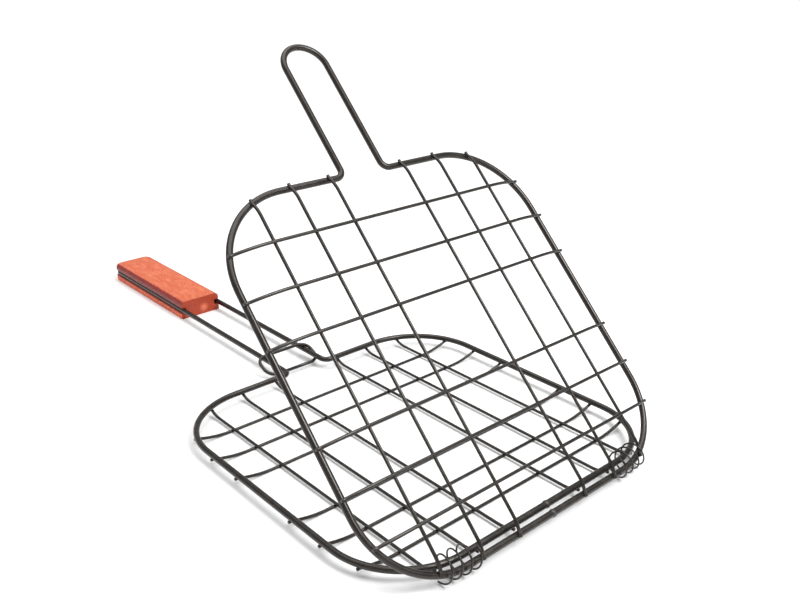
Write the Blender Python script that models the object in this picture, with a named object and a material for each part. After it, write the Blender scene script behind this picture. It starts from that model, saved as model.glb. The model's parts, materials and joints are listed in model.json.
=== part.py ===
"""Hinged wire grill basket with a wooden grip, standing open on its underside.

+Y runs from the hinge to the grip, +X along the hinge, +Z up. The origin is at the middle
of the whole object's footprint, on the surface it stands on. All lengths are in metres.
"""
import math

import bmesh
import bpy

# Wires
RIM_RADIUS = 0.0025
MESH_RADIUS = 0.0011
COIL_RADIUS = 0.00065
RING_RADIUS = 0.00145
GAP = 0.0003

# Frame outline, measured between wire centrelines; lengths along Y start at the hinge wire
FRAME_WIDTH = 0.295
FRAME_LENGTH = 0.295
HINGE_CORNER = 0.062
HANDLE_CORNER = 0.0675
NECK_BEND = 0.007

# Cooking grid: two groups of three wires each way, with the middle place left empty
PITCH = 0.036
FIRST_CROSS_WIRE = 0.038
GRID_STEPS = (0, 1, 2, 4, 5, 6)
WELD_DROP = RIM_RADIUS + MESH_RADIUS + GAP
LONG_WIRE_DROP = 0.0060
CROSS_WIRE_DROP = LONG_WIRE_DROP + 2 * MESH_RADIUS + GAP
LONG_RAMP = 0.0125
CROSS_RAMP = 0.033
RAMP_STEPS = 4
FLUSH_END = 0.0025
HANDLE_END = 0.0030
PROUD_END = 0.0036
RIM_HEIGHT = CROSS_WIRE_DROP + MESH_RADIUS

# Handles
GRIP_BAR_SPACING = 0.042
LOOP_WIDTH = 0.040
LOOP_END = 0.4175
GRIP_START = 0.497
GRIP_LENGTH = 0.1685
GRIP_WIDTH = 0.046
GRIP_HEIGHT = 0.020
GRIP_END_CORNER = 0.008
GRIP_TOP_ROUND = 0.0040
GRIP_BOTTOM_ROUND = 0.0015
BAR_END_BEND = 0.009
GRIP_END = GRIP_START + GRIP_LENGTH
BAR_INSET = GRIP_WIDTH / 2 - GRIP_BAR_SPACING / 2

# Lid: its hinge wire sits just outside and above the lower one when the basket is shut
LID_ANGLE = math.radians(45.8)
LID_SET_BACK = 0.0073
LID_RISE = 2 * RIM_RADIUS + GAP
SIDE_PLAY = 0.0044
LOWER_X = SIDE_PLAY / 2
LID_X = -SIDE_PLAY / 2

# Spiral hinges, each between the two outer long wires
COIL_TURN_RADIUS = 0.0103
COIL_TURNS = 3.2
COIL_PITCH = 0.0085
COIL_INNER_END = 0.0764
COIL_BACK = 0.0055
COIL_LIFT = 0.0016
COIL_YAW = math.radians(4.5)
COIL_START = math.radians(100)
COIL_POINTS_PER_TURN = 16

# Lock ring round the two neck bars
RING_LENGTH = 0.058
RING_WIDTH = 0.025
RING_CORNER = 0.010
RING_TILT = math.radians(24)
RING_PLACE = 0.3223
RING_OFFSET = -0.0036

ARC_STEP = math.radians(15)
HINGE_Y = -(GRIP_END - COIL_BACK - COIL_TURN_RADIUS - COIL_RADIUS) / 2

PAINTED_STEEL = ("painted_steel", (0.022, 0.020, 0.018, 1), 0.38, 0.0)
STAINED_WOOD = ("stained_wood", (0.62, 0.15, 0.07, 1), 0.55, 0.0)


def clear_scene():
    for obj in list(bpy.data.objects):
        bpy.data.objects.remove(obj, do_unlink=True)


def new_collection(name):
    collection = bpy.data.collections.new(name)
    bpy.context.scene.collection.children.link(collection)
    return collection


def material(look, name):
    """A Principled material of its own for one sub-part."""
    kind, colour, roughness, metallic = look
    made = bpy.data.materials.new(f"{kind}_{name}")
    made.use_nodes = True
    shader = made.node_tree.nodes["Principled BSDF"]
    shader.inputs["Base Color"].default_value = colour
    shader.inputs["Roughness"].default_value = roughness
    shader.inputs["Metallic"].default_value = metallic
    made.diffuse_color = colour
    return made


def new_axis(collection, name, location, turn=0.0):
    """An empty on a joint's axis."""
    axis = bpy.data.objects.new(name, None)
    axis.location = location
    axis.rotation_euler = (turn, 0, 0)
    axis.empty_display_size = 0.03
    collection.objects.link(axis)
    return axis


def new_wire(collection, name, points, radius, closed=False):
    """A round wire along the points."""
    curve = bpy.data.curves.new(name, "CURVE")
    curve.dimensions = "3D"
    curve.bevel_depth = radius
    curve.bevel_resolution = 2
    curve.use_fill_caps = not closed
    spline = curve.splines.new("POLY")
    spline.points.add(len(points) - 1)
    for target, point in zip(spline.points, points):
        target.co = (*point, 1)
    spline.use_cyclic_u = closed
    wire = bpy.data.objects.new(name, curve)
    collection.objects.link(wire)
    curve.materials.append(material(PAINTED_STEEL, name))
    return wire


def rounded_outline(corners, step=ARC_STEP):
    """The closed flat outline through (x, y, radius) corners, with an arc at each."""
    points = []
    for index, (x, y, radius) in enumerate(corners):
        before = corners[index - 1]
        after = corners[(index + 1) % len(corners)]
        into = math.atan2(y - before[1], x - before[0])
        turn = math.remainder(math.atan2(after[1] - y, after[0] - x) - into, math.tau)
        reach = radius * math.tan(abs(turn) / 2)
        side = math.copysign(1, turn)
        centre_x = x - reach * math.cos(into) - side * radius * math.sin(into)
        centre_y = y - reach * math.sin(into) + side * radius * math.cos(into)
        pieces = max(2, math.ceil(abs(turn) / step))
        for piece in range(pieces + 1):
            angle = into + turn * piece / pieces
            points.append((
                centre_x + side * radius * math.sin(angle),
                centre_y - side * radius * math.cos(angle),
            ))
    return points


def frame_outline(handle_width, handle_end, end_radius):
    """One frame with its handle: a single closed loop of wire, anticlockwise from above."""
    half = FRAME_WIDTH / 2
    bar = handle_width / 2
    return rounded_outline([
        (-half, 0, HINGE_CORNER),
        (half, 0, HINGE_CORNER),
        (half, FRAME_LENGTH, HANDLE_CORNER),
        (bar, FRAME_LENGTH, NECK_BEND),
        (bar, handle_end, end_radius),
        (-bar, handle_end, end_radius),
        (-bar, FRAME_LENGTH, NECK_BEND),
        (-half, FRAME_LENGTH, HANDLE_CORNER),
    ])


def corner_inset(distance, radius):
    """How far the rim has curved in, this far inside its straight side's end."""
    along = max(0.0, radius - distance)
    return radius - math.sqrt(radius ** 2 - along ** 2)


def ramp(edge, inward, length, run_drop):
    """(place, drop) points from the weld under the rim, easing into the level run."""
    points = []
    for step in range(RAMP_STEPS + 1):
        share = step / RAMP_STEPS
        drop = run_drop - (run_drop - WELD_DROP) * (1 - share) ** 2
        points.append((edge + inward * length * share, drop))
    return points


def grid_wire_profile(low_edge, low_overhang, high_edge, high_overhang, length, run_drop):
    """(place, drop) along a grid wire whose ends are welded to the rim's outer face."""
    return [
        (low_edge - low_overhang, WELD_DROP),
        *ramp(low_edge, 1, length, run_drop),
        *reversed(ramp(high_edge, -1, length, run_drop)),
        (high_edge + high_overhang, WELD_DROP),
    ]


def add_grid(collection, prefix, outward, origin, proud_side, parent):
    """The long and cross wires of one half, on the rim's outer face."""
    half = FRAME_WIDTH / 2
    x0, y0, z0 = origin
    for number, step in enumerate(GRID_STEPS, 1):
        x = (step - 3) * PITCH
        low = corner_inset(half - abs(x), HINGE_CORNER)
        high = FRAME_LENGTH - corner_inset(half - abs(x), HANDLE_CORNER)
        profile = grid_wire_profile(
            low, FLUSH_END, high, HANDLE_END, LONG_RAMP, LONG_WIRE_DROP
        )
        points = [(x0 + x, y0 + place, z0 + outward * drop) for place, drop in profile]
        wire = new_wire(collection, f"{prefix}_long_wire_{number}", points, MESH_RADIUS)
        wire.parent = parent
    for number, step in enumerate(GRID_STEPS, 1):
        y = FIRST_CROSS_WIRE + step * PITCH
        inset = corner_inset(y, HINGE_CORNER) + corner_inset(FRAME_LENGTH - y, HANDLE_CORNER)
        left, right = (PROUD_END, FLUSH_END) if proud_side < 0 else (FLUSH_END, PROUD_END)
        profile = grid_wire_profile(
            inset - half, left, half - inset, right, CROSS_RAMP, CROSS_WIRE_DROP
        )
        points = [(x0 + place, y0 + y, z0 + outward * drop) for place, drop in profile]
        wire = new_wire(collection, f"{prefix}_cross_wire_{number}", points, MESH_RADIUS)
        wire.parent = parent


def add_frame(collection, name, outline, origin, parent):
    x0, y0, z0 = origin
    points = [(x0 + x, y0 + y, z0) for x, y in outline]
    wire = new_wire(collection, name, points, RIM_RADIUS, closed=True)
    wire.parent = parent


def add_lower_half(collection):
    """The half that rests on its grid, with the long handle."""
    origin = (LOWER_X, HINGE_Y, RIM_HEIGHT)
    bars_end = GRIP_END - BAR_INSET
    outline = frame_outline(GRIP_BAR_SPACING, bars_end, BAR_END_BEND)
    add_frame(collection, "lower_frame", outline, origin, None)
    add_grid(collection, "lower", -1, origin, -1, None)


def add_lid(collection):
    """The same half turned over, drawn shut about the hinge axis and then opened."""
    axis = new_axis(collection, "lid_hinge_axis", (0, HINGE_Y, RIM_HEIGHT), LID_ANGLE)
    origin = (LID_X, -LID_SET_BACK, LID_RISE)
    outline = frame_outline(LOOP_WIDTH, LOOP_END, LOOP_WIDTH / 2 - 1e-5)
    add_frame(collection, "lid_frame", outline, origin, axis)
    add_grid(collection, "lid", 1, origin, 1, axis)


def coil_points(side):
    """A helix round both hinge wires, its axis turned in to follow the rim's corner."""
    length = COIL_TURNS * COIL_PITCH
    count = round(COIL_TURNS * COIL_POINTS_PER_TURN)
    points = []
    for step in range(count + 1):
        along = length * step / count
        angle = COIL_START + math.tau * COIL_TURNS * step / count
        y = COIL_TURN_RADIUS * math.cos(angle) - COIL_BACK + along * math.sin(COIL_YAW)
        z = COIL_TURN_RADIUS * math.sin(angle) + COIL_LIFT
        points.append((side * (COIL_INNER_END + along * math.cos(COIL_YAW)), y, z))
    return points


def add_coils(collection):
    axis = new_axis(collection, "coil_axis", (0, HINGE_Y, RIM_HEIGHT))
    for name, side in (("hinge_coil_left", -1), ("hinge_coil_right", 1)):
        coil = new_wire(collection, name, coil_points(side), COIL_RADIUS)
        coil.parent = axis


def add_lock_ring(collection):
    """An oblong ring that leans over the bars at its far side and under them at its near side."""
    half_length, half_width = RING_LENGTH / 2, RING_WIDTH / 2
    outline = rounded_outline([
        (-half_length, -half_width, RING_CORNER),
        (half_length, -half_width, RING_CORNER),
        (half_length, half_width, RING_CORNER),
        (-half_length, half_width, RING_CORNER),
    ])
    points = [(x, y, 0) for x, y in outline]
    ring = new_wire(collection, "lock_ring", points, RING_RADIUS, closed=True)
    ring.location = (LOWER_X + RING_OFFSET, HINGE_Y + RING_PLACE, RIM_HEIGHT)
    ring.rotation_euler = (RING_TILT, 0, 0)


def bevel_edges(mesh, chosen, radius, segments):
    """Rounds the edges that chosen(start, end) picks."""
    edges = [e for e in mesh.edges if chosen(e.verts[0].co, e.verts[1].co)]
    bmesh.ops.bevel(
        mesh, geom=edges, offset=radius, segments=segments, profile=0.5, affect="EDGES"
    )


def grip_block(collection):
    """The wooden block, centred on its own middle, without its groove."""
    half_width, half_length = GRIP_WIDTH / 2, GRIP_LENGTH / 2
    top = GRIP_HEIGHT / 2
    mesh = bmesh.new()
    bmesh.ops.create_cube(mesh, size=1)
    bmesh.ops.scale(mesh, vec=(GRIP_WIDTH, GRIP_LENGTH, GRIP_HEIGHT), verts=mesh.verts)

    def at_far_corner(a, b):
        far = min(a.y, b.y) > half_length - 1e-5
        return far and abs(a.x - b.x) < 1e-5 and abs(a.z - b.z) > GRIP_HEIGHT / 2

    def on_side(a, b, level):
        same_level = abs(a.z - level) < 1e-5 and abs(b.z - level) < 1e-5
        near_face = max(a.y, b.y) < -half_length + 1e-5
        across = abs(a.x - b.x) > half_width
        return same_level and not near_face and not (across and a.y < half_length - 1e-5)

    bevel_edges(mesh, at_far_corner, GRIP_END_CORNER, 4)
    bevel_edges(mesh, lambda a, b: on_side(a, b, top), GRIP_TOP_ROUND, 3)
    bevel_edges(mesh, lambda a, b: on_side(a, b, -top), GRIP_BOTTOM_ROUND, 2)
    data = bpy.data.meshes.new("grip")
    mesh.to_mesh(data)
    mesh.free()
    data.materials.append(material(STAINED_WOOD, "grip"))
    block = bpy.data.objects.new("grip", data)
    collection.objects.link(block)
    return block


def groove_cutter(cutters):
    """A slab with the grip's core left out of it, so that it cuts both sides and the far end."""
    core_half = GRIP_BAR_SPACING / 2 - RIM_RADIUS - GAP
    core_end = GRIP_LENGTH / 2 - BAR_INSET - RIM_RADIUS - GAP
    core_corner = BAR_END_BEND - RIM_RADIUS - GAP
    core = rounded_outline([
        (-core_half, -GRIP_LENGTH, 0.001),
        (core_half, -GRIP_LENGTH, 0.001),
        (core_half, core_end, core_corner),
        (-core_half, core_end, core_corner),
    ])
    slab = [(x * GRIP_WIDTH, y * GRIP_LENGTH * 1.2) for x, y in ((-1, -1), (1, -1), (1, 1), (-1, 1))]
    curve = bpy.data.curves.new("groove", "CURVE")
    curve.dimensions = "2D"
    curve.fill_mode = "BOTH"
    curve.extrude = RIM_RADIUS + GAP
    for outline in (slab, core):
        spline = curve.splines.new("POLY")
        spline.points.add(len(outline) - 1)
        for target, point in zip(spline.points, outline):
            target.co = (*point, 0, 1)
        spline.use_cyclic_u = True
    drawn = bpy.data.objects.new("groove_outline", curve)
    cutters.objects.link(drawn)
    bpy.context.view_layer.update()
    graph = bpy.context.evaluated_depsgraph_get()
    data = bpy.data.meshes.new_from_object(drawn.evaluated_get(graph))
    bpy.data.objects.remove(drawn, do_unlink=True)
    mesh = bmesh.new()
    mesh.from_mesh(data)
    bmesh.ops.remove_doubles(mesh, verts=mesh.verts, dist=1e-6)
    bmesh.ops.recalc_face_normals(mesh, faces=mesh.faces)
    mesh.to_mesh(data)
    mesh.free()
    cutter = bpy.data.objects.new("groove_cutter", data)
    cutters.objects.link(cutter)
    cutter.hide_render = True
    cutter.display_type = "WIRE"
    return cutter


def add_grip(collection, cutters):
    """The grooved block that the two bars run along and the far bend wraps."""
    place = (LOWER_X, HINGE_Y + GRIP_START + GRIP_LENGTH / 2, GRIP_HEIGHT / 2)
    block = grip_block(collection)
    block.location = place
    cutter = groove_cutter(cutters)
    cutter.location = (*place[:2], RIM_HEIGHT)
    cut = block.modifiers.new("groove", "BOOLEAN")
    cut.operation = "DIFFERENCE"
    cut.object = cutter


def main():
    clear_scene()
    basket = new_collection("grill_basket")
    cutters = new_collection("cutters")
    add_lower_half(basket)
    add_lid(basket)
    add_coils(basket)
    add_lock_ring(basket)
    add_grip(basket, cutters)


main()
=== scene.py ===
"""The looks of the wire grill basket: fine coated wires, welds, stained wood and a studio.

Everything is in metres in the CAD model's frame: +Y runs from the hinge to the grip, +Z up.
"""
import json
import math

import bmesh
import bpy
from mathutils import Matrix, Vector, noise


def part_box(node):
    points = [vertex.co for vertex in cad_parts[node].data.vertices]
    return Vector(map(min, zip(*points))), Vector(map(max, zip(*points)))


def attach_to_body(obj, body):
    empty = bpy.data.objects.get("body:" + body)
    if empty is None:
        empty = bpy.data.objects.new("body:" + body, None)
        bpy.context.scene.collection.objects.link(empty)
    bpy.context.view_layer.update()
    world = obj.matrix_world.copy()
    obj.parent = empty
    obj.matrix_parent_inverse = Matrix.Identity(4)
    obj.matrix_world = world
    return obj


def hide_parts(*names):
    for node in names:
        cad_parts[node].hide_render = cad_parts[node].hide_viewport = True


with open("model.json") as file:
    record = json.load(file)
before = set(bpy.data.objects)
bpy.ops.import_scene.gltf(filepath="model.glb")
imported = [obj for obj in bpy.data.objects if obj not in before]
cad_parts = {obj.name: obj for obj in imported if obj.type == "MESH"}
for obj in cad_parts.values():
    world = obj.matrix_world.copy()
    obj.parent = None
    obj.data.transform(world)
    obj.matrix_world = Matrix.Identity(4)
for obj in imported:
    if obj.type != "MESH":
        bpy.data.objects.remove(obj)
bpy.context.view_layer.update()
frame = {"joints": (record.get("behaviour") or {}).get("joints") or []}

# ---------------------------------------------------------------- sizes and places

RIM_RADIUS = 0.0026
MESH_RADIUS = 0.00132
COIL_RADIUS = 0.00065
RING_RADIUS = 0.00160

FRAME_WIDTH = 0.295
FRAME_LENGTH = 0.295
HINGE_CORNER = 0.062
HANDLE_CORNER = 0.0675
NECK_BEND = 0.007
GRIP_BAR_SPACING = 0.042
LOOP_WIDTH = 0.040
LOOP_END = 0.4175
LOOP_END_RADIUS = LOOP_WIDTH / 2 - 1e-5
BAR_END_BEND = 0.009

PITCH = 0.036
FIRST_CROSS_WIRE = 0.038
GRID_STEPS = (0, 1, 2, 4, 5, 6)
MIDDLE_STEP = 3
WELD_DROP = 0.00305
LONG_WIRE_DROP = 0.0064
CROSS_WIRE_DROP = 0.0085
LONG_RAMP = 0.0125
CROSS_RAMP = 0.033
RAMP_STEPS = 12
FLUSH_END = 0.0025
HANDLE_END = 0.0030
PROUD_END = 0.0027

WELD_ALONG = 0.00175
WELD_ACROSS = 0.00150
WELD_THICK = 0.00105
WELD_LIFT = 0.0001
CROSSING_WELD = (0.00115, 0.00115, 0.00085)
WELD_LUMP = 0.16
WELD_LUMP_SCALE = 1.7
FIRST_SEED = 0.37
SEED_STEP = 1.31

BUTT_SWELL = (0.97, 1.10, 1.22, 1.12, 1.17, 0.97)
BUTT_CUT_SCALE = 0.9
BUTT_STEP = 0.0008
LOWER_BUTT_X = 0.0004
LID_BUTT_X = 0.0018

LID_ANGLE = math.radians(45.8)
LID_SET_BACK = 0.0073
LID_RISE = 0.0053

COIL_TURN_RADIUS = 0.0097
COIL_TURNS = 3.5
COIL_PITCH = 0.0085
COIL_INNER_END = 0.0778
COIL_BACK = 0.0055
COIL_LIFT = 0.0016
COIL_YAW = math.radians(4.5)
COIL_START = math.radians(100)
COIL_SLACK = 0.0005
COIL_POINTS_PER_TURN = 40

RING_LENGTH = 0.058
RING_WIDTH = 0.025
RING_CORNER = 0.010
RING_TILT = math.radians(24)
RING_JOINT_GAP = 0.0002

HINGE = Vector(next(j["pos_m"] for j in frame["joints"] if j["name"] == "lid_hinge"))
LOWER_X = sum(corner.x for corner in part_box("lower_frame")) / 2
LID_X = -LOWER_X
GRIP_LOW, GRIP_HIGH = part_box("grip")
RING_LOW, RING_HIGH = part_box("lock_ring")

GRIP_CORNER = 0.0090
GRIP_LEAST_CORNER = 0.0003
GRIP_CORNER_PIECES = 12
GRIP_ASIDE = -0.0009
GROOVE_DEPTH = 0.0054
GROOVE_HALF = RIM_RADIUS + 0.0002
TOP_ROUND = 0.0044
LOWER_LIP_ROUND = 0.0009
UPPER_LIP_ROUND = LOWER_LIP_ROUND * 1.4
FOOT_ROUND = 0.0016
SHARP_EDGE = math.radians(32)
# Heights over which the lower lip's lighter colour, a painted reflection of the floor, takes over
# from the sides' painted shade.
LIP_REFLECTION_HEIGHTS = (0.0062, 0.0054)
KNOT_PLACE = (0.0045, 0.0, 0.0072)
KNOT_EDGES = (0.0012, 0.0060)

FLOOR_SIZE = 80
SURROUND_STRENGTH = 0.50
SUN_TOWARDS = (0.10, 0.12, 1.0)
SUN_SPREAD = 65
SUN_STRENGTH = 2.3
SOFTBOX_PLACE = (0.34, -1.12, 1.30)
SOFTBOX_AIM = (0, -0.20, 0.10)
SOFTBOX_SIZE = (0.64, 0.52)
SOFTBOX_POWER = 20

SENSOR_WIDTH = 36
LENS = 40.37
CAMERA_PLACE = (LOWER_X - 0.4370, HINGE.y - 0.3418, 0.3983)
CAMERA_AZIMUTH = math.radians(41.06)
CAMERA_DOWN = math.radians(22.62)
CAMERA_ROLL = math.radians(-0.33)

FINE_ARC = math.radians(3)
RIM_ROUNDNESS = 8
RING_ROUNDNESS = 6
FINE_ROUNDNESS = 4
CUT_CHAMFER = 0.00025

LOWER_PLACE = Matrix.Translation(Vector((LOWER_X, HINGE.y, HINGE.z)))
LID_PLACE = (
    Matrix.Translation(HINGE)
    @ Matrix.Rotation(LID_ANGLE, 4, "X")
    @ Matrix.Translation(Vector((LID_X, -LID_SET_BACK, LID_RISE)))
)


# ---------------------------------------------------------------- materials


class Nodes:
    """A short way to write one material's node tree."""

    def __init__(self, name):
        self.material = bpy.data.materials.new(name)
        self.material.use_nodes = True
        self.tree = self.material.node_tree
        self.shader = self.tree.nodes["Principled BSDF"]

    def add(self, kind, **settings):
        node = self.tree.nodes.new(kind)
        for key, value in settings.items():
            setattr(node, key, value)
        return node

    def join(self, output, target):
        self.tree.links.new(output, target)

    def place(self, scale=(1, 1, 1)):
        """Object coordinates, stretched."""
        source = self.add("ShaderNodeTexCoord")
        mapping = self.add("ShaderNodeMapping")
        mapping.inputs["Scale"].default_value = scale
        self.join(source.outputs["Object"], mapping.inputs["Vector"])
        return mapping.outputs["Vector"]

    def noise(self, place, scale, detail, roughness=0.5):
        """A cloudy grey pattern; scale counts its features in each metre."""
        node = self.add("ShaderNodeTexNoise")
        self.join(place, node.inputs["Vector"])
        node.inputs["Scale"].default_value = scale
        node.inputs["Detail"].default_value = detail
        node.inputs["Roughness"].default_value = roughness
        return node.outputs["Fac"]

    def ramp(self, value, stops):
        """A colour ramp through (position, colour) stops."""
        node = self.add("ShaderNodeValToRGB")
        self.join(value, node.inputs["Fac"])
        elements = node.color_ramp.elements
        while len(elements) < len(stops):
            elements.new(1.0)
        for element, (position, colour) in zip(elements, stops):
            element.position = position
            element.color = (*colour, 1)
        return node.outputs["Color"]

    def span(self, value, low, high, to_low, to_high):
        """Maps low...high onto to_low...to_high, held at both ends."""
        node = self.add("ShaderNodeMapRange")
        self.join(value, node.inputs["Value"])
        for key, number in (
            ("From Min", low), ("From Max", high), ("To Min", to_low), ("To Max", to_high)
        ):
            node.inputs[key].default_value = number
        return node.outputs["Result"]

    def mix(self, share, first, second):
        """Mixes two colours by a share that is a socket or a number."""
        node = self.add("ShaderNodeMix", data_type="RGBA")
        for key, value in (("Factor", share), ("A", first), ("B", second)):
            socket = next(s for s in node.inputs if s.name == key and s.enabled)
            if isinstance(value, bpy.types.NodeSocket):
                self.join(value, socket)
            else:
                socket.default_value = value if key == "Factor" else (*value, 1)
        return next(s for s in node.outputs if s.enabled)

    def split(self, vector, axis):
        """One part of a vector: X, Y or Z."""
        node = self.add("ShaderNodeSeparateXYZ")
        self.join(vector, node.inputs["Vector"])
        return node.outputs[axis]

    def maths(self, operation, first, second):
        """One sum on two values, each a socket or a number."""
        node = self.add("ShaderNodeMath", operation=operation)
        for socket, value in zip(node.inputs, (first, second)):
            if isinstance(value, bpy.types.NodeSocket):
                self.join(value, socket)
            else:
                socket.default_value = value
        return node.outputs["Value"]

    def bump(self, height, strength, distance):
        """Fine relief from a grey pattern, at most a distance deep."""
        node = self.add("ShaderNodeBump")
        self.join(height, node.inputs["Height"])
        node.inputs["Strength"].default_value = strength
        node.inputs["Distance"].default_value = distance
        self.join(node.outputs["Normal"], self.shader.inputs["Normal"])

    def set(self, **values):
        """Sets the shader's own inputs, with _ for a space in their names."""
        for key, value in values.items():
            self.shader.inputs[key.replace("_", " ")].default_value = value

    def feed(self, socket, output):
        """Joins a pattern to one of the shader's inputs."""
        self.join(output, self.shader.inputs[socket])


def coated_steel(name):
    """Black non-stick coat: near black, satin, with a faint skin and a few thin places."""
    nodes = Nodes(name)
    place = nodes.place()
    cloud = nodes.noise(place, 140, 3)
    skin = nodes.noise(place, 1500, 2)
    colour = nodes.ramp(cloud, [
        (0.30, (0.0075, 0.0060, 0.0050)),
        (0.55, (0.0105, 0.0086, 0.0072)),
        (0.78, (0.0200, 0.0160, 0.0130)),
    ])
    nodes.feed("Base Color", colour)
    nodes.feed("Roughness", nodes.span(cloud, 0.3, 0.7, 0.22, 0.32))
    nodes.bump(skin, 0.08, 0.00003)
    nodes.set(Specular_IOR_Level=0.5, Specular_Tint=(1.0, 0.95, 0.90, 1))
    return nodes.material


def weld_metal(name):
    """The same coat over a weld, worn thin so that the metal shows through."""
    nodes = Nodes(name)
    place = nodes.place()
    grain = nodes.noise(place, 900, 4, 0.6)
    colour = nodes.ramp(grain, [
        (0.35, (0.012, 0.011, 0.010)),
        (0.62, (0.050, 0.045, 0.040)),
        (0.80, (0.120, 0.110, 0.100)),
    ])
    nodes.feed("Base Color", colour)
    nodes.feed("Metallic", nodes.span(grain, 0.5, 0.8, 0.0, 0.7))
    nodes.set(Roughness=0.36)
    nodes.bump(grain, 0.4, 0.00015)
    return nodes.material


def stained_wood(name):
    """Orange-red stained hardwood with flecks along Y. The sides are a darker copy of the top as
    painted shade, the lower lip is lighter as a painted reflection of the floor, and the end faces
    are darker, partly end grain and partly painted shade.
    """
    nodes = Nodes(name)
    fibre = nodes.noise(nodes.place((1, 0.22, 1)), 900, 4, 0.65)
    pores = nodes.noise(nodes.place((1, 0.16, 1)), 2200, 2, 0.5)
    band = nodes.noise(nodes.place((1, 0.18, 1)), 95, 3)
    top = nodes.ramp(fibre, [
        (0.32, (0.40, 0.052, 0.016)),
        (0.50, (0.56, 0.108, 0.036)),
        (0.68, (0.68, 0.180, 0.075)),
    ])
    top = nodes.mix(nodes.span(band, 0.47, 0.62, 0.0, 0.6), top, (0.54, 0.074, 0.016))
    pale = nodes.noise(nodes.place((1.3, 0.30, 1)), 210, 3)
    top = nodes.mix(nodes.span(pale, 0.46, 0.68, 0.0, 0.55), top, (0.72, 0.205, 0.095))
    top = nodes.mix(nodes.span(pores, 0.58, 0.70, 0.0, 0.6), top, (0.24, 0.045, 0.035))
    # The sides: a darker copy of the top's colours, painted shade on every face not turned up.
    side = nodes.ramp(fibre, [
        (0.30, (0.12, 0.008, 0.007)),
        (0.50, (0.21, 0.014, 0.010)),
        (0.72, (0.36, 0.030, 0.012)),
    ])
    # The lower lip is lighter: a painted reflection of the white floor on its rounded side, laid
    # over the wood's own flecks.
    lip_reflection_share = nodes.span(fibre, 0.35, 0.6, 0.0, 0.8)
    lip_painted_reflection = nodes.mix(lip_reflection_share, (0.50, 0.036, 0.009), (0.92, 0.150, 0.022))
    source = nodes.add("ShaderNodeTexCoord").outputs["Object"]
    height = nodes.split(source, "Z")
    side = nodes.mix(nodes.span(height, *LIP_REFLECTION_HEIGHTS, 0.0, 1.0), side, lip_painted_reflection)
    speck = nodes.noise(nodes.place(), 1000, 3, 0.6)
    # End faces: end-grain specks and a knot, in a darker tone that is partly end grain and partly
    # painted shade.
    end = nodes.ramp(speck, [
        (0.34, (0.20, 0.012, 0.003)),
        (0.52, (0.40, 0.038, 0.005)),
        (0.70, (0.58, 0.080, 0.012)),
    ])
    knot = nodes.add("ShaderNodeVectorMath", operation="DISTANCE")
    nodes.join(source, knot.inputs[0])
    knot.inputs[1].default_value = KNOT_PLACE
    near_knot = nodes.span(knot.outputs["Value"], *KNOT_EDGES, 0.75, 0.0)
    ragged = nodes.maths("MULTIPLY", near_knot, nodes.span(speck, 0.35, 0.6, 0.35, 1.0))
    end = nodes.mix(ragged, end, (0.95, 0.26, 0.14))
    # Faces turned up keep the top's colours; all other faces take the sides' painted shade, and
    # end faces take the end tone.
    normal = nodes.add("ShaderNodeNewGeometry").outputs["Normal"]
    unshaded_top_share = nodes.span(nodes.split(normal, "Z"), 0.93, 0.985, 0.0, 1.0)
    faces_end = nodes.maths("ABSOLUTE", nodes.split(normal, "Y"), 0.0)
    on_end = nodes.span(faces_end, 0.75, 0.95, 0.0, 1.0)
    nodes.feed("Base Color", nodes.mix(on_end, nodes.mix(unshaded_top_share, side, top), end))
    nodes.feed("Roughness", nodes.span(fibre, 0.3, 0.7, 0.55, 0.42))
    nodes.bump(fibre, 0.30, 0.00012)
    return nodes.material


# ---------------------------------------------------------------- wires


def rounded_outline(corners):
    """The closed flat outline through (x, y, radius) corners, with an arc at each."""
    points = []
    for index, (x, y, radius) in enumerate(corners):
        before = corners[index - 1]
        after = corners[(index + 1) % len(corners)]
        into = math.atan2(y - before[1], x - before[0])
        turn = math.remainder(math.atan2(after[1] - y, after[0] - x) - into, math.tau)
        reach = radius * math.tan(abs(turn) / 2)
        side = math.copysign(1, turn)
        centre_x = x - reach * math.cos(into) - side * radius * math.sin(into)
        centre_y = y - reach * math.sin(into) + side * radius * math.cos(into)
        pieces = max(2, math.ceil(abs(turn) / FINE_ARC))
        for piece in range(pieces + 1):
            angle = into + turn * piece / pieces
            points.append((
                centre_x + side * radius * math.sin(angle),
                centre_y - side * radius * math.cos(angle),
            ))
    return points


def new_object(name, data):
    """An object in the scene for a mesh, a curve, a lamp or a camera."""
    made = bpy.data.objects.new(name, data)
    bpy.context.scene.collection.objects.link(made)
    return made


def new_wire(name, points, radius, material, roundness, closed=False):
    """A round wire along the points; an open one has chamfered cut ends."""
    curve = bpy.data.curves.new(name, "CURVE")
    curve.dimensions = "3D"
    curve.bevel_depth = radius
    curve.bevel_resolution = roundness
    curve.use_fill_caps = not closed
    spline = curve.splines.new("POLY")
    points = [Vector(point) for point in points]
    if not closed:
        first = points[0] + (points[1] - points[0]).normalized() * CUT_CHAMFER
        last = points[-1] + (points[-2] - points[-1]).normalized() * CUT_CHAMFER
        points = [points[0], first, *points[1:-1], last, points[-1]]
    spline.points.add(len(points) - 1)
    for target, point in zip(spline.points, points):
        target.co = (*point, 1)
    if not closed:
        for end in (0, -1):
            spline.points[end].radius = 1 - CUT_CHAMFER / radius
    spline.use_cyclic_u = closed
    spline.use_smooth = True
    curve.materials.append(material)
    return new_object(name, curve)


def attach(piece, body, slot, *nodes):
    """Makes a piece ride on a CAD body and stand for CAD nodes."""
    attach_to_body(piece, body)
    if nodes:
        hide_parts(*nodes)


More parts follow.
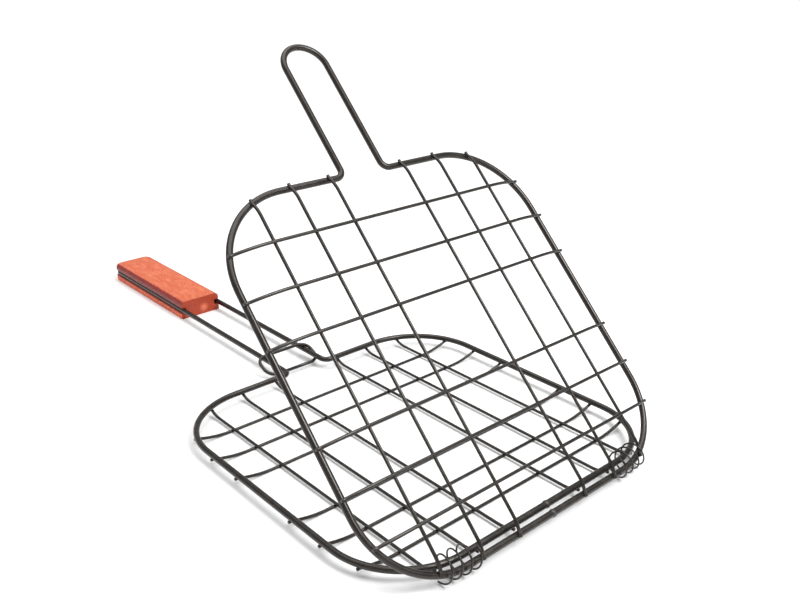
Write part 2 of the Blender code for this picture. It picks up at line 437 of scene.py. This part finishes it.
def frame_outline(handle_width, handle_end, end_radius):
    """One frame with its handle: a single closed loop of wire, anticlockwise from above."""
    half = FRAME_WIDTH / 2
    bar = handle_width / 2
    return rounded_outline([
        (-half, 0, HINGE_CORNER),
        (half, 0, HINGE_CORNER),
        (half, FRAME_LENGTH, HANDLE_CORNER),
        (bar, FRAME_LENGTH, NECK_BEND),
        (bar, handle_end, end_radius),
        (-bar, handle_end, end_radius),
        (-bar, FRAME_LENGTH, NECK_BEND),
        (-half, FRAME_LENGTH, HANDLE_CORNER),
    ])


def corner_inset(distance, radius):
    """How far the rim has curved in, this far inside its straight side's end."""
    along = max(0.0, radius - distance)
    return radius - math.sqrt(radius ** 2 - along ** 2)


def ramp(edge, inward, length, run_drop):
    """(place, drop) points from the weld under the rim, easing into the level run."""
    points = []
    for step in range(RAMP_STEPS + 1):
        share = step / RAMP_STEPS
        drop = run_drop - (run_drop - WELD_DROP) * (1 - share) ** 2
        points.append((edge + inward * length * share, drop))
    return points


def grid_wire_profile(low_edge, low_overhang, high_edge, high_overhang, length, run_drop):
    """(place, drop) along a grid wire whose ends are welded to the rim's outer face."""
    return [
        (low_edge - low_overhang, WELD_DROP),
        *ramp(low_edge, 1, length, run_drop),
        *reversed(ramp(high_edge, -1, length, run_drop)),
        (high_edge + high_overhang, WELD_DROP),
    ]


def long_wire_ends(x):
    """Where the rim's centreline crosses a long wire, at the hinge and at the handle."""
    from_side = FRAME_WIDTH / 2 - abs(x)
    low = corner_inset(from_side, HINGE_CORNER)
    high = FRAME_LENGTH - corner_inset(from_side, HANDLE_CORNER)
    return low, high


def cross_wire_reach(y):
    """Half the rim's width at a cross wire."""
    inset = corner_inset(y, HINGE_CORNER) + corner_inset(FRAME_LENGTH - y, HANDLE_CORNER)
    return FRAME_WIDTH / 2 - inset


LONG_PLACES = [(step - MIDDLE_STEP) * PITCH for step in GRID_STEPS]
CROSS_PLACES = [FIRST_CROSS_WIRE + step * PITCH for step in GRID_STEPS]


def add_grid(prefix, body, outward, place, proud_side, material):
    """The long and cross wires of one half, on the rim's outer face."""
    for number, x in enumerate(LONG_PLACES, 1):
        low, high = long_wire_ends(x)
        profile = grid_wire_profile(
            low, FLUSH_END, high, HANDLE_END, LONG_RAMP, LONG_WIRE_DROP
        )
        points = [(x, y, outward * drop) for y, drop in profile]
        node = f"{prefix}_long_wire_{number}"
        wire = new_wire(f"{node}_fine", points, MESH_RADIUS, material, FINE_ROUNDNESS)
        wire.matrix_world = place
        attach(wire, body, "painted_steel", node)
    for number, y in enumerate(CROSS_PLACES, 1):
        reach = cross_wire_reach(y)
        left, right = (PROUD_END, FLUSH_END) if proud_side < 0 else (FLUSH_END, PROUD_END)
        profile = grid_wire_profile(-reach, left, reach, right, CROSS_RAMP, CROSS_WIRE_DROP)
        points = [(x, y, outward * drop) for x, drop in profile]
        node = f"{prefix}_cross_wire_{number}"
        wire = new_wire(f"{node}_fine", points, MESH_RADIUS, material, FINE_ROUNDNESS)
        wire.matrix_world = place
        attach(wire, body, "painted_steel", node)


def add_blob(mesh, centre, size, seed):
    """A small lumpy ellipsoid, for one weld."""
    made = bmesh.ops.create_icosphere(mesh, subdivisions=2, radius=1)
    for vert in made["verts"]:
        offset = Vector((seed, seed * 0.7, 0))
        lump = 1 + WELD_LUMP * noise.noise(vert.co * WELD_LUMP_SCALE + offset)
        vert.co = Vector(c * s * lump for c, s in zip(vert.co, size)) + centre


def rim_weld_places(outward):
    """(centre, size) of each weld between a grid wire and the rim."""
    height = outward * (RIM_RADIUS + WELD_LIFT)
    for x in LONG_PLACES:
        low, high = long_wire_ends(x)
        for y in (low, high):
            yield Vector((x, y, height)), (WELD_ACROSS, WELD_ALONG, WELD_THICK)
    for y in CROSS_PLACES:
        reach = cross_wire_reach(y)
        for x in (-reach, reach):
            yield Vector((x, y, height)), (WELD_ALONG, WELD_ACROSS, WELD_THICK)


def add_welds(name, body, outward, place, material):
    """All the welds of one half as one piece."""
    mesh = bmesh.new()
    seed = FIRST_SEED
    for centre, size in rim_weld_places(outward):
        add_blob(mesh, centre, size, seed)
        seed += SEED_STEP
    middle = outward * (LONG_WIRE_DROP + CROSS_WIRE_DROP) / 2
    for x in LONG_PLACES:
        for y in CROSS_PLACES:
            add_blob(mesh, Vector((x, y, middle)), CROSSING_WELD, seed)
            seed += SEED_STEP
    data = bpy.data.meshes.new(name)
    mesh.to_mesh(data)
    mesh.free()
    data.shade_smooth()
    data.materials.append(material)
    welds = new_object(name, data)
    welds.matrix_world = place
    attach(welds, body, "painted_steel")


def add_frame(node, body, place, outline, material):
    """One frame's wire, round its whole outline."""
    points = [(x, y, 0) for x, y in outline]
    wire = new_wire(f"{node}_fine", points, RIM_RADIUS, material, RIM_ROUNDNESS, closed=True)
    wire.matrix_world = place
    attach(wire, body, "painted_steel", node)


def add_butt_weld(name, body, place, x, material):
    """The lumpy collar where the two ends of a frame's wire meet, on its hinge side."""
    half = (len(BUTT_SWELL) - 1) / 2
    points = [(x + BUTT_STEP * (number - half), 0, 0) for number in range(len(BUTT_SWELL))]
    collar = new_wire(name, points, RIM_RADIUS, material, RIM_ROUNDNESS)
    scales = (BUTT_CUT_SCALE, *BUTT_SWELL, BUTT_CUT_SCALE)
    for point, scale in zip(collar.data.splines[0].points, scales):
        point.radius = scale
    collar.matrix_world = place
    attach(collar, body, "painted_steel")


def add_halves(steel, weld):
    """The lower half with its grid facing down, and the lid with its grid facing up."""
    bars_end = GRIP_HIGH.y - HINGE.y - (GRIP_HIGH.x - GRIP_LOW.x - GRIP_BAR_SPACING) / 2
    lower = frame_outline(GRIP_BAR_SPACING, bars_end, BAR_END_BEND)
    add_frame("lower_frame", "lower_half", LOWER_PLACE, lower, steel)
    add_grid("lower", "lower_half", -1, LOWER_PLACE, -1, steel)
    add_welds("lower_welds", "lower_half", -1, LOWER_PLACE, weld)
    loop = frame_outline(LOOP_WIDTH, LOOP_END, LOOP_END_RADIUS)
    add_frame("lid_frame", "lid", LID_PLACE, loop, steel)
    add_grid("lid", "lid", 1, LID_PLACE, 1, steel)
    add_welds("lid_welds", "lid", 1, LID_PLACE, weld)
    add_butt_weld("lower_butt_weld", "lower_half", LOWER_PLACE, LOWER_BUTT_X, weld)
    add_butt_weld("lid_butt_weld", "lid", LID_PLACE, LID_BUTT_X, weld)


def coil_points(side):
    """A helix round both hinge wires, its axis turned in to follow the rim's corner."""
    length = COIL_TURNS * COIL_PITCH
    count = round(COIL_TURNS * COIL_POINTS_PER_TURN)
    points = []
    for step in range(count + 1):
        along = length * step / count
        angle = COIL_START + math.tau * COIL_TURNS * step / count
        sway = noise.noise(Vector((step * 0.035, side * 3.7, 0.5)))
        radius = COIL_TURN_RADIUS + COIL_SLACK * sway
        along += 2.5 * COIL_SLACK * noise.noise(Vector((step * 0.030, side * 9.1, 4.5)))
        y = radius * math.cos(angle) - COIL_BACK + along * math.sin(COIL_YAW)
        z = radius * math.sin(angle) + COIL_LIFT
        points.append((side * (COIL_INNER_END + along * math.cos(COIL_YAW)), y, z))
    return points


def add_coils(material):
    """The two loose coils that hinge the halves."""
    for side, word in ((-1, "left"), (1, "right")):
        points = coil_points(side)
        coil = new_wire(
            f"hinge_coil_{word}_fine", points, COIL_RADIUS, material, FINE_ROUNDNESS
        )
        coil.location = HINGE
        attach(coil, f"coil_{word}", "painted_steel", f"hinge_coil_{word}")


def add_lock_ring(material):
    """The oblong ring, one bent wire whose ends butt together in the middle of its near side."""
    half_length, half_width = RING_LENGTH / 2, RING_WIDTH / 2
    outline = rounded_outline([
        (half_length, -half_width, RING_CORNER),
        (half_length, half_width, RING_CORNER),
        (-half_length, half_width, RING_CORNER),
        (-half_length, -half_width, RING_CORNER),
    ])
    start = (RING_JOINT_GAP / 2, -half_width)
    end = (-RING_JOINT_GAP / 2, -half_width)
    points = [(x, y, 0) for x, y in (start, *outline, end)]
    ring = new_wire("lock_ring_fine", points, RING_RADIUS, material, RING_ROUNDNESS)
    ring.location = (RING_LOW + RING_HIGH) / 2
    ring.rotation_euler = (RING_TILT, 0, 0)
    attach(ring, "ring", "painted_steel", "lock_ring")


# ---------------------------------------------------------------- grip


def arc(centre, radius, start, end, pieces):
    """(inset, height) points along a quarter-round edge, angles in degrees."""
    points = []
    for piece in range(pieces + 1):
        angle = math.radians(start + (end - start) * piece / pieces)
        points.append((centre[0] + radius * math.cos(angle), centre[1] + radius * math.sin(angle)))
    return points


def grip_profile(height, bar_height):
    """(inset, height) from the middle of the underside out, round the groove and up to the top."""
    top, foot = TOP_ROUND, FOOT_ROUND
    lower_lip, upper_lip = LOWER_LIP_ROUND, UPPER_LIP_ROUND
    low_edge, high_edge = bar_height - GROOVE_HALF, bar_height + GROOVE_HALF
    return [
        *arc((foot, foot), foot, 270, 180, 6),
        *arc((lower_lip, low_edge - lower_lip), lower_lip, 180, 90, 5),
        (GROOVE_DEPTH, low_edge),
        (GROOVE_DEPTH, high_edge),
        *arc((upper_lip, high_edge + upper_lip), upper_lip, 270, 180, 5),
        *arc((top, height - top), top, 180, 90, 10),
    ]


def grip_path(half_width, length, corner, inset):
    """One level of the grip: up its left side, across the far end and back down its right side."""
    side = half_width - inset
    end = length - inset
    radius = max(corner - inset, GRIP_LEAST_CORNER)
    left = [(-side, 0)]
    for piece in range(GRIP_CORNER_PIECES + 1):
        angle = math.radians(180 - 90 * piece / GRIP_CORNER_PIECES)
        left.append((
            -side + radius + radius * math.cos(angle), end - radius + radius * math.sin(angle)
        ))
    return left + [(-x, y) for x, y in reversed(left)]


def add_grip(material):
    """The grooved wooden block, lofted up through its levels."""
    size = GRIP_HIGH - GRIP_LOW
    levels = grip_profile(size.z, HINGE.z - GRIP_LOW.z)
    mesh = bmesh.new()
    rings = []
    for inset, height in levels:
        path = grip_path(size.x / 2, size.y, GRIP_CORNER, inset)
        rings.append([mesh.verts.new((x, y, height)) for x, y in path])
    for below, above in zip(rings, rings[1:]):
        for index in range(len(below) - 1):
            mesh.faces.new((below[index], above[index], above[index + 1], below[index + 1]))
    near = [ring[0] for ring in rings] + [ring[-1] for ring in reversed(rings)]
    mesh.faces.new(near)
    mesh.faces.new(rings[0])
    mesh.faces.new(reversed(rings[-1]))
    bmesh.ops.recalc_face_normals(mesh, faces=mesh.faces)
    data = bpy.data.meshes.new("grip_fine")
    mesh.to_mesh(data)
    mesh.free()
    data.shade_smooth()
    data.set_sharp_from_angle(angle=SHARP_EDGE)
    data.materials.append(material)
    grip = new_object("grip_fine", data)
    middle = (GRIP_LOW.x + GRIP_HIGH.x) / 2
    grip.location = (middle + GRIP_ASIDE, GRIP_LOW.y, GRIP_LOW.z)
    attach(grip, "lower_half", "stained_wood", "grip")


# ---------------------------------------------------------------- studio


def add_floor():
    """A plain white floor, wide enough to reach the horizon."""
    bpy.ops.mesh.primitive_plane_add(size=FLOOR_SIZE)
    floor = bpy.context.object
    floor.name = "studio_floor"
    nodes = Nodes("floor_white")
    nodes.set(Base_Color=(0.86, 0.86, 0.86, 1), Roughness=0.9, Specular_IOR_Level=0.1)
    floor.data.materials.append(nodes.material)


def add_softbox(name, place, aim, size, power):
    """A flat oblong lamp at a place, turned to its aim; size in metres, power in watts."""
    light = bpy.data.lights.new(name, "AREA")
    light.shape = "RECTANGLE"
    light.size, light.size_y = size
    light.energy = power
    box = new_object(name, light)
    box.location = place
    box.rotation_euler = (Vector(aim) - Vector(place)).to_track_quat("-Z", "Y").to_euler()


def add_sun(towards, spread, strength):
    """Broad light from one direction; spread in degrees."""
    light = bpy.data.lights.new("broad_sun", "SUN")
    light.angle = math.radians(spread)
    light.energy = strength
    sun = new_object("broad_sun", light)
    sun.rotation_euler = Vector(towards).to_track_quat("Z", "Y").to_euler()


def add_studio():
    """The floor, an even white surround, broad light from above and one softbox in front."""
    add_floor()
    world = bpy.data.worlds.new("studio_world")
    world.use_nodes = True
    background = world.node_tree.nodes["Background"]
    background.inputs["Color"].default_value = (1, 1, 1, 1)
    background.inputs["Strength"].default_value = SURROUND_STRENGTH
    bpy.context.scene.world = world
    add_sun(SUN_TOWARDS, SUN_SPREAD, SUN_STRENGTH)
    add_softbox("front_top", SOFTBOX_PLACE, SOFTBOX_AIM, SOFTBOX_SIZE, SOFTBOX_POWER)
    bpy.context.scene.view_settings.view_transform = "Standard"


def add_camera():
    """The camera stands off the hinge's left, looking along the basket towards its grip."""
    camera = bpy.data.cameras.new("camera")
    camera.sensor_width = SENSOR_WIDTH
    camera.lens = LENS
    stand = new_object("camera", camera)
    stand.location = CAMERA_PLACE
    turn = (
        Matrix.Rotation(-CAMERA_AZIMUTH, 3, "Z")
        @ Matrix.Rotation(math.pi / 2 - CAMERA_DOWN, 3, "X")
        @ Matrix.Rotation(CAMERA_ROLL, 3, "Z")
    )
    stand.rotation_euler = turn.to_euler()
    bpy.context.scene.camera = stand


def main():
    """Builds every piece, the studio and the camera."""
    steel = coated_steel("coated_steel")
    add_halves(steel, weld_metal("weld_metal"))
    add_coils(coated_steel("coil_steel"))
    add_lock_ring(coated_steel("ring_steel"))
    add_grip(stained_wood("stained_wood"))
    add_studio()
    add_camera()
    bpy.context.view_layer.update()


main()
